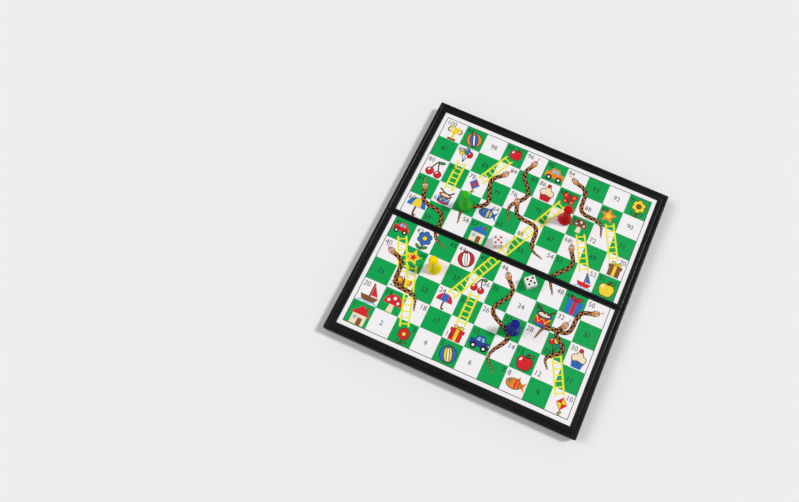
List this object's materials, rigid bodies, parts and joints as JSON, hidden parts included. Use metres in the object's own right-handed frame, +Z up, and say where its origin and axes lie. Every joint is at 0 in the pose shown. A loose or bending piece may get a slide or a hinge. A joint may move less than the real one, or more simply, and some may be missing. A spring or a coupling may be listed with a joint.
{
  "type": "folding board game",
  "caption": "Folding magnetic snakes and ladders board: hinged black case halves with a numbered grid over steel plates, with magnetic pawns and dice.",
  "frame": {"origin": "middle of the open board, on the plane it rests on, below the fold", "axes": "+Z up out of the playing face; +X along the fold; +Y from the near half to the far half"},
  "size_m": [0.2416, 0.2476, 0.0423],
  "materials": {
    "case_plastic": "fine-grained satin black",
    "steel_plate": "bright tinned sheet",
    "printed_sheet": "printed and satin laminated",
    "pin_steel": "drawn wire",
    "green_plastic": "glossy, slightly see-through",
    "red_plastic": "glossy",
    "yellow_plastic": "glossy",
    "blue_plastic": "glossy",
    "magnet": "pressed ferrite, matt",
    "die_plastic": "polished",
    "red_pip_paint": "paint",
    "black_pip_paint": "paint"
  },
  "bodies": {
    "near_half": {"lower_case": "case_plastic", "lower_steel_plate": "steel_plate", "lower_play_sheet": "printed_sheet", "left_hinge_pin": "pin_steel", "right_hinge_pin": "pin_steel"},
    "far_half": {"upper_case": "case_plastic", "upper_steel_plate": "steel_plate", "upper_play_sheet": "printed_sheet"},
    "green_player": {"green_pawn": "green_plastic", "green_pawn_magnet": "magnet"},
    "red_player": {"red_pawn": "red_plastic", "red_pawn_magnet": "magnet"},
    "yellow_player": {"yellow_pawn": "yellow_plastic", "yellow_pawn_magnet": "magnet"},
    "blue_player": {"blue_pawn": "blue_plastic", "blue_pawn_magnet": "magnet"},
    "red_die": {"red_pip_die": "die_plastic", "red_die_pips": "red_pip_paint"},
    "black_die": {"black_pip_die": "die_plastic", "black_die_pips": "black_pip_paint"}
  },
  "joints": [
    {"name": "board_fold", "type": "hinge", "parent": "near_half", "child": "far_half", "pos_m": [0, 0, 0.0019], "axis": [-1, 0, 0], "range_deg": [0, 180]},
    {"name": "green_pawn_lift", "type": "slide", "parent": "far_half", "child": "green_player", "axis": [0, 0, 1], "range_m": [0, 0.05]},
    {"name": "red_pawn_lift", "type": "slide", "parent": "far_half", "child": "red_player", "axis": [0, 0, 1], "range_m": [0, 0.05]},
    {"name": "yellow_pawn_lift", "type": "slide", "parent": "near_half", "child": "yellow_player", "axis": [0, 0, 1], "range_m": [0, 0.05]},
    {"name": "blue_pawn_lift", "type": "slide", "parent": "near_half", "child": "blue_player", "axis": [0, 0, 1], "range_m": [0, 0.05]},
    {"name": "red_die_lift", "type": "slide", "parent": "far_half", "child": "red_die", "axis": [0, 0, 1], "range_m": [0, 0.05]},
    {"name": "black_die_lift", "type": "slide", "parent": "near_half", "child": "black_die", "axis": [0, 0, 1], "range_m": [0, 0.05]}
  ]
}
